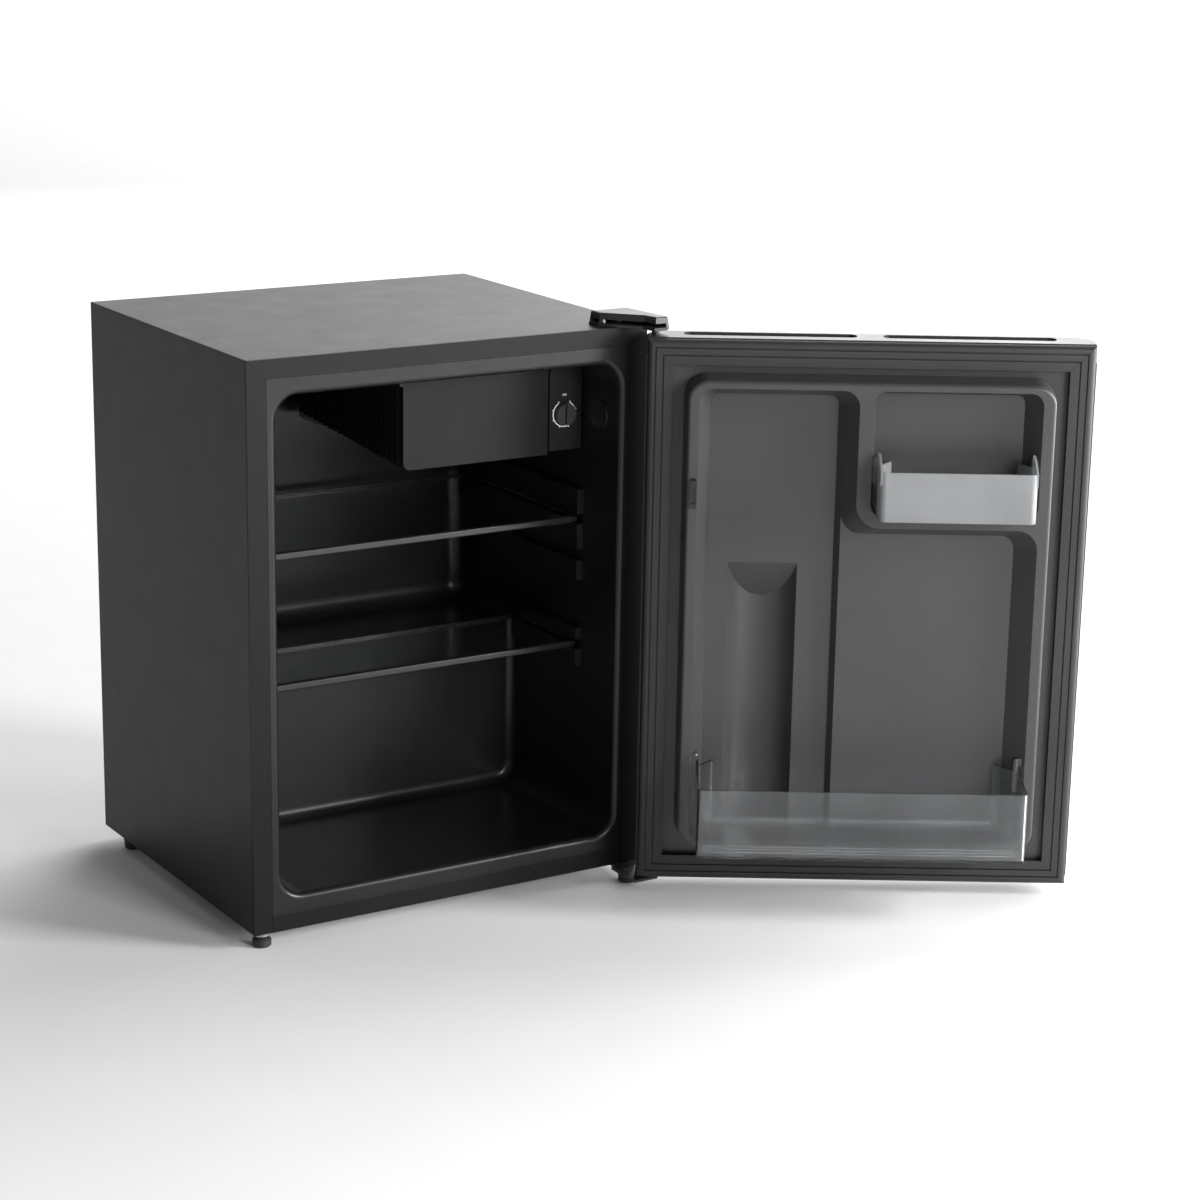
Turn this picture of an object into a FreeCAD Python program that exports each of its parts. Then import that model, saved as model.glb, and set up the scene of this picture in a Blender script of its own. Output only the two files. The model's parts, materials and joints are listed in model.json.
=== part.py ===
import FreeCAD, Part
import math
import os
import re

import Sketcher

# A compact refrigerator: a steel cabinet with a plastic liner, a door on a vertical hinge at the
# right, a chiller compartment with its own flap, two glass shelves, two door baskets and the
# cooling circuit in a bay at the back. Millimetres, +Z up, the door faces -Y.
#
# Cabinet pieces are drawn in the cabinet frame: x = 0 in the middle of the cabinet, y = 0 at the
# front flange, z = 0 at the bottom edge of the side panels. Door pieces are drawn in the same frame
# with the door closed, and their Placement turns them about the hinge axis to the open pose.

Vector = FreeCAD.Vector

# Driving dimensions, each set once. They become the cells of the spreadsheet. A size written as a
# formula keeps its distance from the size that it belongs to.
SIZES = {
    # cabinet
    "cabinet_width": 470,
    "cabinet_depth": 397.5,
    "cabinet_height": 606,
    "foot_height": 18,
    "sheet_gauge": 1,
    "panel_bend": 2,
    "flange_top": 20,
    "flange_side": 21,
    "flange_groove": 0.5,
    "groove_width": 1,
    "seam": 0.4,
    "seam_depth": 0.5,
    "sill_height": 19,
    "sill_depth": 24,
    "sill_gauge": 1.2,
    "base_gauge": 1.2,
    # liner
    "liner_wall": 2,
    "cavity_half": "cabinet_width/2 - 32",
    "cavity_floor": 37,
    "cavity_ceiling": "cabinet_height - 39",
    "cavity_depth": "cabinet_depth - 52.5",
    "cavity_corner": 26,
    "floor_round": 12,
    "rear_round": 20,
    "rim_round": 6,
    "step_top": 230,
    "step_front": "bay_front - 26",
    "step_round": 6,
    "rib_reach": 8,
    "rib_front": 72,
    "rib_rear": "cavity_depth - 7",
    "rib_height": 28,
    "spare_slot": 14,
    "spare_rib": 22,
    "small_rib": 13,
    "low_rib": 20,
    # shelves
    "glass_gauge": 4,
    "trim_height": 8,
    "trim_depth": 6,
    "slot_gap": 3,
    "shelf_half": "cavity_half - 2",
    "shelf_front": 80,
    "upper_shelf_rear": "cavity_depth - 17",
    "lower_shelf_rear": "step_front - 10",
    "upper_shelf_top": 384,
    "lower_shelf_top": 241,
    # chiller and thermostat
    "chiller_left": -20,
    "chiller_right": "cavity_half - 49",
    "chiller_front": 76,
    "chiller_rear": "cavity_depth - 23",
    "chiller_bottom": "cavity_ceiling - 99",
    "chiller_top": "cavity_ceiling - 9",
    "chiller_wall": 1.5,
    "rib_pitch": 12,
    "rib_depth": 3,
    "flap_gauge": 3,
    "flap_bottom": "cavity_ceiling - 108",
    "flap_top": "cavity_ceiling - 6",
    "flap_front": 68,
    "flap_corner": 9,
    "flap_pin_radius": 1.5,
    "flap_axis_drop": 5,
    "thermostat_left": "cavity_half - 43",
    "thermostat_front": 76,
    "thermostat_rear": 150,
    "housing_gap": 2,
    "housing_wall": 2,
    "housing_corner": 24.5,
    "plug_y": 42,
    "plug_z": "cavity_ceiling - 62",
    "plug_radius": 17,
    "plug_reach": 1.6,
    "thermostat_bottom": "cavity_ceiling - 106",
    "knob_x": "cavity_half - 24.2",
    "knob_z": "cavity_ceiling - 66",
    "knob_radius": 12,
    "knob_depth": 9,
    "spindle_radius": 3,
    "running_gap": 0.05,
    # cooling circuit
    "bay_front": "cabinet_depth - 151.5",
    "bay_ceiling": 204,
    "bay_sheet": 1,
    "condenser_tube": 2.4,
    "condenser_wire": 0.8,
    "condenser_gap": 12,
    "condenser_pitch": 36,
    "condenser_reach": "cabinet_width/2 - 40",
    "outlet_height": 71,
    "drier_x": "26 - cabinet_width/2",
    "drier_y": "cabinet_depth - 111.5",
    "drier_low": 61,
    "drier_length": 88,
    "capillary": 1.2,
    "suction_height": 131,
    "wire_pitch": 16,
    "compressor_x": 60,
    "compressor_y": "cabinet_depth - 75.5",
    "compressor_radius": 58,
    "compressor_height": 138,
    "compressor_seam": 5,
    "mount_reach_x": "compressor_radius + 8",
    "mount_reach_y": 40,
    "mount_margin": 12,
    "mount_neck": 6,
    "mount_height": 16,
    "mount_plate": 3,
    "relay_low": 53,
    "relay_high": 79,
    "relay_reach": 34,
    "relay_half": 24,
    "tray_half_x": 70,
    "tray_half_y": 50,
    "tray_height": 22,
    "tray_wall": 2,
    "suction_radius": 3.2,
    "suction_reach": 44,
    "gland_x": "40 - cabinet_width/2",
    "gland_z": 30,
    "gland_radius": 9,
    "gland_neck": 6.9,
    "gland_bore": 3.6,
    # door
    "door_half": "cabinet_width/2 + 3",
    "door_bottom": -3.4,
    "door_top": "cabinet_height - 5",
    "door_inner": -8,
    "door_outer": -52,
    "door_round": 26,
    "door_sheet": 1,
    "cap_top_height": 20,
    "cap_bottom_height": 10,
    "door_open": 148,
    "hinge_x": "cabinet_width/2 - 6.5",
    "hinge_y": -26,
    "hinge_pin_radius": 4,
    "hinge_pin_reach": 14,
    "hinge_plate": 3,
    "hinge_cover_height": 14,
    "hinge_cover_wall": 2,
    "screw_radius": 4.5,
    "screw_head": 3,
    "bush_wall": 3,
    "bush_depth": 16,
    "grip_inner": 14,
    "grip_outer": "door_half - 40",
    "grip_front": 8,
    "grip_width": 20,
    "grip_depth": 15,
    "gasket_width": 27,
    "gasket_face": -0.5,
    "gasket_round": 6,
    "gasket_groove_outer": 8,
    "gasket_groove_inner": 16,
    "gasket_groove": 1.6,
    "gasket_groove_depth": 2.2,
    "door_liner_face": -10,
    "dyke_top": 24,
    "dyke_half": "door_half - 41",
    "dyke_low": 42,
    "dyke_high": "door_top - 37",
    "dyke_corner": 24,
    "dyke_edge": 4,
    "panel_low": -8,
    "panel_raised": 2,
    "hollow_left": "16 - dyke_half",
    "hollow_right": "dyke_half - 15",
    "hollow_low": 50,
    "hollow_high": "dyke_high - 11",
    "hollow_round": 16,
    "side_draft": 11,
    "end_draft": 8,
    "divider_draft": 14,
    "free_draft": 22,
    "floor_corner": 12,
    "divider_left": -2,
    "divider_right": 13,
    "divider_round": 18,
    "band_low": "dyke_high - 159",
    "band_high": "band_low + 12",
    "band_round": 26,
    "ledge": 6,
    "small_left": "17 - dyke_half",
    "small_draft": 17,
    "small_round": 14,
    "bottle_x": "dyke_half - 88.5",
    "bottle_radius": 40.6,
    "bottle_y": 7.6,
    "bottle_low": 62,
    "bottle_high": "band_low - 43",
    "bottle_run": 80,
    "bottle_shell": 45,
    "bottle_wall": 5,
    # baskets
    "basket_wall": 2.2,
    "basket_gap": 2.5,
    "basket_ear": 14,
    "basket_corner": 7,
    "basket_lip": 9,
    "basket_rib": 1.6,
    "basket_rib_pitch": 9,
    "upper_basket_left": "hollow_left + 8",
    "upper_basket_right": "divider_left - 6",
    "upper_rear_left": "hollow_left + 21",
    "upper_rear_right": "divider_left - 20",
    "upper_basket_low": "band_high + 4",
    "upper_basket_high": "band_high + 57",
    "upper_basket_front": 62,
    "lower_basket_left": "hollow_left + 7",
    "lower_basket_right": "hollow_right - 6",
    "lower_rear_left": "hollow_left + 29",
    "lower_rear_right": "hollow_right - 24",
    "lower_basket_low": 62,
    "lower_basket_high": 138,
    "lower_basket_front": 110,
    "lug_drop": 3,
    "upper_lug_low": "band_high + 38",
    "upper_lug_high": "band_high + 65",
    "lower_lug_low": 112,
    "lower_lug_high": 150,
    "clip_left": "dyke_half - 14.8",
    "clip_width": 7.6,
    "clip_low": "band_high + 7",
    "clip_high": "band_high + 39",
    # feet
    "foot_radius": 10,
    "foot_stem": 4,
    "stem_gap": 0.4,
    "front_foot_x": "15 - cabinet_width/2",
    "front_foot_y": 15,
    "rear_foot_x": "cabinet_width/2 - 17",
    "rear_foot_y": "cabinet_depth - 40.5",
    "bracket_foot_x": "cabinet_width/2 - 18",
    "bracket_foot_y": -10,
    # the middle of the open model's bounding box, measured once everything is built
    "centre_x": 0,
    "centre_y": 0,
}

doc = FreeCAD.newDocument("mini_fridge")
sheet = doc.addObject("Spreadsheet::Sheet", "Sizes")
ROWS = {name: row for row, name in enumerate(SIZES, 1)}
for name, row in ROWS.items():
    sheet.set(f"A{row}", name)
    sheet.setAlias(f"B{row}", name)
for name, row in ROWS.items():
    size = SIZES[name]
    sheet.set(f"B{row}", f"={size}" if isinstance(size, str) else str(size))
doc.recompute()

PIECES = []


def formula(text):
    """The expression for a formula written with the plain names of the driving dimensions."""
    return re.sub(r"[a-z_]+[a-z]", lambda word: ("Sizes." if word[0] in SIZES else "") + word[0], str(text))


def value(text):
    """The present value of a formula."""
    return float(sheet.evalExpression(formula(text)))


def bind(target, **properties):
    """Binds an object's properties to formulas. A double underscore stands for a dot."""
    for name, text in properties.items():
        target.setExpression(name.replace("__", "."), formula(text))


def keep(target, label, moves="cabinet"):
    """Gives a finished sub-part its label and its place, with the cabinet or on the open door."""
    target.Label = label
    target.Placement = FreeCAD.Placement(Vector(0, 0, 0), FreeCAD.Rotation(Vector(0, 0, 1), 0))
    place = {"x": "-centre_x", "y": "-centre_y", "z": "foot_height"}
    if moves == "door":
        turn = "door_open * 1 deg"
        place["x"] += f" + hinge_x - (cos({turn}) * hinge_x - sin({turn}) * hinge_y)"
        place["y"] += f" + hinge_y - (sin({turn}) * hinge_x + cos({turn}) * hinge_y)"
        target.setExpression("Placement.Rotation.Angle", formula("door_open"))
    for axis, text in place.items():
        target.setExpression(f"Placement.Base.{axis}", formula(text))
    PIECES.append(target)
    return target


# ---- sketch outlines: lists of closed loops in the sketch's own two directions ----


def box(u0, v0, u1, v1, radius=0):
    """A rectangle. radius may be one formula or four, for the corners from (u0, v0) round."""
    corners = [(u0, v0), (u1, v0), (u1, v1), (u0, v1)]
    radii = radius if isinstance(radius, (list, tuple)) else [radius] * 4
    return ("loop", corners, list(radii))


def outline(points, radii=None):
    """A polygon. Corners between sides along the sketch's axes may be rounded."""
    return ("loop", points, radii or [0] * len(points))


def disc(u, v, radius):
    return ("disc", u, v, radius)


def draw(sketch, loops):
    """Draws the loops and fixes every corner and radius to its formula."""

    def fix(kind, geometry, end, text):
        rule = sketch.addConstraint(Sketcher.Constraint(kind, -1, 1, geometry, end, value(text)))
        sketch.setExpression(f"Constraints[{rule}]", formula(text))

    for loop in loops:
        if loop[0] == "disc":
            _, u, v, radius = loop
            circle = Part.Circle(Vector(value(u), value(v), 0), Vector(0, 0, 1), value(radius))
            ring = sketch.addGeometry(circle, False)
            rule = sketch.addConstraint(Sketcher.Constraint("Radius", ring, value(radius)))
            sketch.setExpression(f"Constraints[{rule}]", formula(radius))
            fix("DistanceX", ring, 3, u)
            fix("DistanceY", ring, 3, v)
            continue
        _, corners, radii = loop
        spots = [Vector(value(u), value(v), 0) for u, v in corners]
        count = len(spots)
        ends = []
        for i, (u, v) in enumerate(corners):
            if value(radii[i]) <= 0:
                ends.append([(spots[i], u, v), (spots[i], u, v)])
                continue
            sides = []
            for other in (i - 1, (i + 1) % count):
                way = (spots[other] - spots[i]).normalize()
                du = f"{u} + {round(way.x)} * ({radii[i]})"
                dv = f"{v} + {round(way.y)} * ({radii[i]})"
                sides.append((spots[i] + way * value(radii[i]), du, dv))
            ends.append(sides)
        chain = []
        for i in range(count):
            after = (i + 1) % count
            if ends[i][0] is not ends[i][1] and value(radii[i]) > 0:
                start, stop = ends[i][0][0], ends[i][1][0]
                centre = start + stop - spots[i]
                bulge = centre + (spots[i] - centre).normalize() * value(radii[i])
                arc = sketch.addGeometry(Part.Arc(start, bulge, stop), False)
                turn = (start - centre).cross(stop - centre).z
                chain.append((arc, 1, 2) if turn > 0 else (arc, 2, 1))
                rule = sketch.addConstraint(Sketcher.Constraint("Radius", arc, value(radii[i])))
                sketch.setExpression(f"Constraints[{rule}]", formula(radii[i]))
            start, stop = ends[i][1], ends[after][0]
            line = sketch.addGeometry(Part.LineSegment(start[0], stop[0]), False)
            chain.append((line, 1, 2))
            fix("DistanceX", line, 1, start[1])
            fix("DistanceY", line, 1, start[2])
            if value(radii[after]) > 0:
                fix("DistanceX", line, 2, stop[1])
                fix("DistanceY", line, 2, stop[2])
        for one, other in zip(chain, chain[1:] + chain[:1]):
            sketch.addConstraint(Sketcher.Constraint("Coincident", one[0], one[2], other[0], other[1]))


def mitre_seam(side, edge, z, way, width):
    """A fine line at 45 degrees across a frame's corner, run on past both of its ends."""
    outer, inner = "(-1)", f"({width} + 1)"
    ends = [(f"{side} * ({edge} - {reach})", f"{z} + {way} * {reach}") for reach in (outer, inner)]
    return outline([(u, f"{v} - seam/2") for u, v in ends] + [(u, f"{v} + seam/2") for u, v in reversed(ends)])


NORMAL_SIGN = {"XY": 1, "XZ": -1, "YZ": 1}


def new_body(name):
    return doc.addObject("PartDesign::Body", name)


def new_sketch(body, plane, level, loops):
    """A sketch in one of the body's own planes, moved along its axis to a level."""
    sketch = body.newObject("Sketcher::SketchObject", body.Name + "_sketch")
    origin = [f for f in body.Origin.OriginFeatures if f.Role == plane + "_Plane"][0]
    sketch.AttachmentSupport = [(origin, "")]
    sketch.MapMode = "FlatFace"
    sketch.AttachmentOffset = FreeCAD.Placement(Vector(0, 0, 0), FreeCAD.Rotation())
    sign = "" if NORMAL_SIGN[plane] > 0 else "-1 * "
    sketch.setExpression("AttachmentOffset.Base.z", formula(f"{sign}({level})"))
    draw(sketch, loops)
    return sketch


def pad(body, plane, loops, low, high, taper=0):
    """Adds material between two levels along the plane's axis."""
    feature = body.newObject("PartDesign::Pad", body.Name + "_pad")
    feature.Profile = new_sketch(body, plane, low, loops)
    feature.Reversed = NORMAL_SIGN[plane] < 0
    feature.TaperAngle = taper
    bind(feature, Length=f"({high}) - ({low})")
    return feature


def pocket(body, plane, loops, low, high):
    """Cuts between two levels along the plane's axis, and checks that it cut something."""
    doc.recompute()
    before = body.Shape.Volume
    feature = body.newObject("PartDesign::Pocket", body.Name + "_pocket")
    start = high if NORMAL_SIGN[plane] > 0 else low
    feature.Profile = new_sketch(body, plane, start, loops)
    bind(feature, Length=f"({high}) - ({low})")
    doc.recompute()
    if not body.Shape.Volume < before - 0.01:
        raise RuntimeError(f"{body.Name}: a pocket cut nothing")
    return feature


def loft_cut(body, plane, sections):
    """Cuts a tapering hollow through outlines at two levels."""
    doc.recompute()
    before = body.Shape.Volume
    sketches = [new_sketch(body, plane, level, [loop]) for level, loop in sections]
    feature = body.newObject("PartDesign::SubtractiveLoft", body.Name + "_loft")
    feature.Profile = sketches[0]
    feature.Sections = sketches[1:]
    feature.Ruled = True
    doc.recompute()
    if not body.Shape.Volume < before - 0.01:
        raise RuntimeError(f"{body.Name}: a loft cut nothing")
    return feature


def edges_where(shape, test):
    """The names of the edges whose two ends and middle all pass the test."""
    names = []
    for number, edge in enumerate(shape.Edges, 1):
        middle = edge.valueAt((edge.FirstParameter + edge.LastParameter) / 2)
        spots = [vertex.Point for vertex in edge.Vertexes] + [middle]
        if all(test(spot) for spot in spots):
            names.append(f"Edge{number}")
    return names


def fillet(body, radius, test, kind="Fillet"):
    """Rounds or bevels the edges that pass the test."""
    doc.recompute()
    base = body.Tip
    names = edges_where(base.Shape, test)
    if not names:
        raise RuntimeError(f"{body.Name}: no edge to round")
    feature = body.newObject(f"PartDesign::{kind}", f"{body.Name}_{kind.lower()}")
    feature.Base = (base, names)
    bind(feature, **{"Radius" if kind == "Fillet" else "Size": radius})
    doc.recompute()
    if "Invalid" in feature.State or "Error" in feature.State or not feature.Shape.isValid():
        raise RuntimeError(f"{body.Name}: rounding failed")
    return feature


def plain_pad(label, plane, loops, low, high, moves="cabinet"):
    """A sub-part that is one padded outline."""
    body = new_body(label)
    pad(body, plane, loops, low, high)
    return keep(body, label, moves)


def cylinder(name, x, y, low, high, radius):
    """A loose upright cylinder for use in booleans."""
    shape = doc.addObject("Part::Cylinder", name)
    bind(shape, Radius=radius, Height=f"({high}) - ({low})")
    bind(shape, Placement__Base__x=x, Placement__Base__y=y, Placement__Base__z=low)
    return shape


def block(name, x0, x1, y0, y1, z0, z1):
    """A loose block for use in booleans."""
    shape = doc.addObject("Part::Box", name)
    bind(shape, Length=f"({x1}) - ({x0})", Width=f"({y1}) - ({y0})", Height=f"({z1}) - ({z0})")
    bind(shape, Placement__Base__x=x0, Placement__Base__y=y0, Placement__Base__z=z0)
    return shape


def cut(name, base, *tools):
    """A chain of Part::Cut objects: the base less each tool."""
    for number, tool in enumerate(tools):
        result = doc.addObject("Part::Cut", f"{name}_cut{number}")
        result.Base = base
        result.Tool = tool
        base = result
    return base


def fuse(name, *shapes):
    result = doc.addObject("Part::MultiFuse", name + "_fuse")
    result.Shapes = list(shapes)
    return result


# ---- outer cabinet ----

HALF = "cabinet_width/2"


def outer_wrapper():
    """Top and sides bent from one sheet, with a mitred front flange and a fine bead behind it."""
    body = new_body("outer_wrapper")
    pad(body, "XZ", [box(f"-{HALF}", 0, HALF, "cabinet_height")], 0, "cabinet_depth")
    inner = box(f"-{HALF} + sheet_gauge", -1, f"{HALF} - sheet_gauge", "cabinet_height - sheet_gauge")
    pocket(body, "XZ", [inner], "sheet_gauge", "cabinet_depth + 1")
    window = box(f"-{HALF} + flange_side", -1, f"{HALF} - flange_side", "cabinet_height - flange_top")
    pocket(body, "XZ", [window], -1, "sheet_gauge * 2")
    half = value(HALF)
    top = value("cabinet_height")
    fillet(body, "panel_bend * 0.45", lambda p: abs(abs(p.x) - half) < 0.01 and abs(p.z - top) < 0.01)
    for side in (-1, 1):
        mitre = mitre_seam(side, HALF, "cabinet_height", -1, "flange_side")
        pocket(body, "XZ", [mitre], -1, "seam_depth")
    # the fine groove behind the flange runs round both sides and the top
    front, rear = "panel_bend", "panel_bend + groove_width"
    left = box(f"-{HALF} - 1", front, f"-{HALF} + flange_groove", rear)
    right = box(f"{HALF} - flange_groove", front, f"{HALF} + 1", rear)
    pocket(body, "XY", [left, right], -1, "cabinet_height + 1")
    across = box(front, "cabinet_height - flange_groove", rear, "cabinet_height + 1")
    pocket(body, "YZ", [across], f"-{HALF} - 1", f"{HALF} + 1")
    return keep(body, "outer_wrapper")


# each rib is (bottom, top, rear end): a shelf lies on one rib and slides in under the next
UPPER_UNDERSIDE = "upper_shelf_top - trim_height"
LOWER_UNDERSIDE = "lower_shelf_top - trim_height"
LOW_RIB_REAR = "step_front - step_round - 1"
SHELF_RIBS = [
    ("upper_shelf_top + slot_gap", "upper_shelf_top + slot_gap + rib_height", "rib_rear"),
    (f"{UPPER_UNDERSIDE} - rib_height", UPPER_UNDERSIDE, "rib_rear"),
    (f"{UPPER_UNDERSIDE} - rib_height - spare_slot - spare_rib", f"{UPPER_UNDERSIDE} - rib_height - spare_slot",
     "rib_rear"),
    ("lower_shelf_top + slot_gap", "lower_shelf_top + slot_gap + small_rib", LOW_RIB_REAR),
    (f"{LOWER_UNDERSIDE} - low_rib", LOWER_UNDERSIDE, LOW_RIB_REAR),
]


def cavity_form():
    """The form that the liner is drawn over: a deep upper part and a shallow lower part."""
    body = new_body("cavity_form")
    cavity = "cavity_half"
    front = box(f"-{cavity}", "cavity_floor", cavity, "cavity_ceiling", "cavity_corner")
    pad(body, "XZ", [front], -1, "step_front")
    back = box(f"-{cavity}", "step_top", cavity, "cavity_ceiling", [0, 0, "cavity_corner", "cavity_corner"])
    pad(body, "XZ", [back], "step_front - 0.5", "cavity_depth")
    half, step, top, depth = (value(name) for name in ("cavity_half", "step_front", "step_top", "cavity_depth"))
    fillet(body, "floor_round", lambda p: abs(p.y - step) < 0.01 and p.z < top + 0.01
           and not abs(p.z - top) < 0.01 or abs(p.y - step) < 0.01 and abs(abs(p.x) - half) < 0.01)
    fillet(body, "rear_round", lambda p: abs(p.y - depth) < 0.01
           or abs(p.z - top) < 0.01 and abs(abs(p.x) - half) < 0.01)
    fillet(body, "step_round", lambda p: abs(p.y - step) < 0.01 and abs(p.z - top) < 0.01)
    return body


def inner_liner():
    """One formed plastic shell: rim, cavity, the step over the compressor and the shelf ribs."""
    body = new_body("inner_liner")
    rim = box(f"-{HALF} + flange_side + seam", "sill_height + seam",
              f"{HALF} - flange_side - seam", "cabinet_height - flange_top - seam")
    pad(body, "XZ", [rim], 0, "liner_wall")
    wall = "cavity_half + liner_wall"
    upper = box(f"-({wall})", "step_top - liner_wall", wall, "cavity_ceiling + liner_wall",
                [0, 0, "cavity_corner", "cavity_corner"])
    pad(body, "XZ", [upper], 0, "cavity_depth + liner_wall")
    lower = box(f"-({wall})", "cavity_floor - liner_wall", wall, "step_top + 1",
                ["cavity_corner", "cavity_corner", 0, 0])
    pad(body, "XZ", [lower], 0, "step_front + liner_wall")
    form = cavity_form()
    hollow = body.newObject("PartDesign::Boolean", "inner_liner_hollow")
    hollow.setObjects([form])
    hollow.Type = "Cut"
    half, low, high = value("cavity_half"), value("cavity_floor"), value("cavity_ceiling")
    fillet(body, "rim_round", lambda p: abs(p.y) < 0.01 and abs(p.x) < half + 1 and low - 1 < p.z < high + 1)
    # each rib stands in from a side wall; the slots between them take the shelves
    for low, high, rear in SHELF_RIBS:
        for side in (-1, 1):
            inner = f"{side} * (cavity_half - rib_reach)"
            outer = f"{side} * (cavity_half + liner_wall/2)"
            u0, u1 = (inner, outer) if side > 0 else (outer, inner)
            pad(body, "XY", [box(u0, "rib_front", u1, rear)], low, high)
    return keep(body, "inner_liner")


def cabinet_foam():
    """Foam between the sheet metal and the liner, less the compressor bay and the sill."""
    inner = f"{HALF} - sheet_gauge"
    whole = block("foam_block", f"-({inner})", inner, "liner_wall", "cabinet_depth - sheet_gauge",
                  "base_gauge", "cabinet_height - sheet_gauge")
    wall = "cavity_half + liner_wall"
    tools = [
        block("foam_upper", f"-({wall})", wall, 0, "cavity_depth + liner_wall",
              "step_top - liner_wall", "cavity_ceiling + liner_wall"),
        block("foam_lower", f"-({wall})", wall, 0, "step_front + liner_wall",
              "cavity_floor - liner_wall", "step_top"),
        block("foam_bay", f"-{HALF}", HALF, "bay_front", "cabinet_depth", 0, "bay_ceiling + bay_sheet"),
        block("foam_sill", f"-{HALF}", HALF, 0, "sill_depth", 0, "sill_height"),
    ]
    return keep(cut("cabinet_foam", whole, *tools), "cabinet_foam")


def back_panel():
    inner = f"{HALF} - sheet_gauge"
    face = box(f"-({inner})", "bay_ceiling + bay_sheet", inner, "cabinet_height - sheet_gauge")
    return plain_pad("back_panel", "XZ", [face], "cabinet_depth - sheet_gauge", "cabinet_depth")


def bay_sheet():
    """One bent sheet: front wall and ceiling of the compressor bay."""
    inner = f"{HALF} - sheet_gauge"
    back = "cabinet_depth"
    section = outline([("bay_front", "base_gauge"), ("bay_front + bay_sheet", "base_gauge"),
                       ("bay_front + bay_sheet", "bay_ceiling"), (back, "bay_ceiling"),
                       (back, "bay_ceiling + bay_sheet"), ("bay_front", "bay_ceiling + bay_sheet")])
    return plain_pad("bay_sheet", "YZ", [section], f"-({inner})", inner)


def base_pan():
    """Bottom sheet with vent slots under the compressor bay and holes for the mains lead."""
    body = new_body("base_pan")
    inner = f"{HALF} - sheet_gauge"
    plate = box(f"-({inner})", "sill_depth", inner, "cabinet_depth")
    pad(body, "XY", [plate], 0, "base_gauge")
    slots = []
    for row in range(5):
        y = f"bay_front + 24 + {row} * 14"
        slots.append(box("-180", y, "-100", f"{y} + 5"))
    pocket(body, "XY", slots, -1, "base_gauge + 1")
    return keep(body, "base_pan")


def front_sill():
    """Folded channel that closes the bottom front between the side flanges."""
    body = new_body("front_sill")
    width = f"{HALF} - flange_side - seam"
    pad(body, "XZ", [box(f"-({width})", 0, width, "sill_height")], 0, "sill_depth")
    hollow = box("sill_gauge", "sill_gauge", "sill_depth - sill_gauge", "sill_height - sill_gauge")
    pocket(body, "YZ", [hollow], f"-({HALF})", HALF)
    inner = f"{HALF} - sheet_gauge"
    pad(body, "XY", [box(f"-({inner})", "sheet_gauge", inner, "sill_depth")], 0, "sill_gauge")
    stem_hole = disc("front_foot_x", "front_foot_y", "foot_stem + stem_gap")
    pocket(body, "XY", [stem_hole], -1, "sill_gauge + 1")
    top = value("sill_height")
    fillet(body, "sill_gauge * 0.8", lambda p: abs(p.y) < 0.01 and abs(p.z - top) < 0.01)
    return keep(body, "front_sill")


# ---- shelves ----


def shelf(name, top, rear):
    """A glass plate with a plastic trim along its front and rear edges."""
    low = f"{top} - (trim_height + glass_gauge)/2"
    front_edge = "shelf_front + trim_depth/2"
    rear_edge = f"{rear} - trim_depth/2"
    plain_pad(name + "_glass", "XY", [box("-shelf_half", front_edge, "shelf_half", rear_edge)],
              low, f"{low} + glass_gauge")
    ends = (("front", "shelf_front", "shelf_front + trim_depth"), ("rear", f"{rear} - trim_depth", rear))
    for end, y0, y1 in ends:
        body = new_body(f"{name}_{end}_trim")
        pad(body, "XY", [box("-shelf_half", y0, "shelf_half", y1)], f"{top} - trim_height", top)
        g0, g1 = (front_edge, f"{y1} + 1") if end == "front" else (f"{y0} - 1", rear_edge)
        pocket(body, "YZ", [box(g0, low, g1, f"{low} + glass_gauge")], "-shelf_half - 1", "shelf_half + 1")
        outer = value(y0 if end == "front" else y1)
        fillet(body, "trim_depth * 0.3", lambda p: abs(p.y - outer) < 0.01 and abs(p.x) < value("shelf_half") - 1
               or abs(p.y - outer) < 0.01 and abs(abs(p.x) - value("shelf_half")) < 0.01)
        keep(body, f"{name}_{end}_trim")


# ---- chiller compartment ----


def evaporator():
    """Roll-bonded aluminium box, open at the front."""
    body = new_body("evaporator")
    outer = box("chiller_left", "chiller_bottom", "chiller_right", "chiller_top", 6)
    pad(body, "XZ", [outer], "chiller_front", "chiller_rear")
    inner = box("chiller_left + chiller_wall", "chiller_bottom + chiller_wall",
                "chiller_right - chiller_wall", "chiller_top - chiller_wall", 4.5)
    pocket(body, "XZ", [inner], "chiller_front - 1", "chiller_rear - chiller_wall")
    return keep(body, "evaporator")


def evaporator_hangers():
    """Four spacers that hang the evaporator from the liner's ceiling."""
    posts = [cylinder("hanger", x, y, "chiller_top", "cavity_ceiling", 5)
             for x in ("chiller_left + 20", "chiller_right - 20")
             for y in ("chiller_front + 30", "chiller_rear - 30")]
    return keep(fuse("evaporator_hangers", *posts), "evaporator_hangers")


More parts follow.
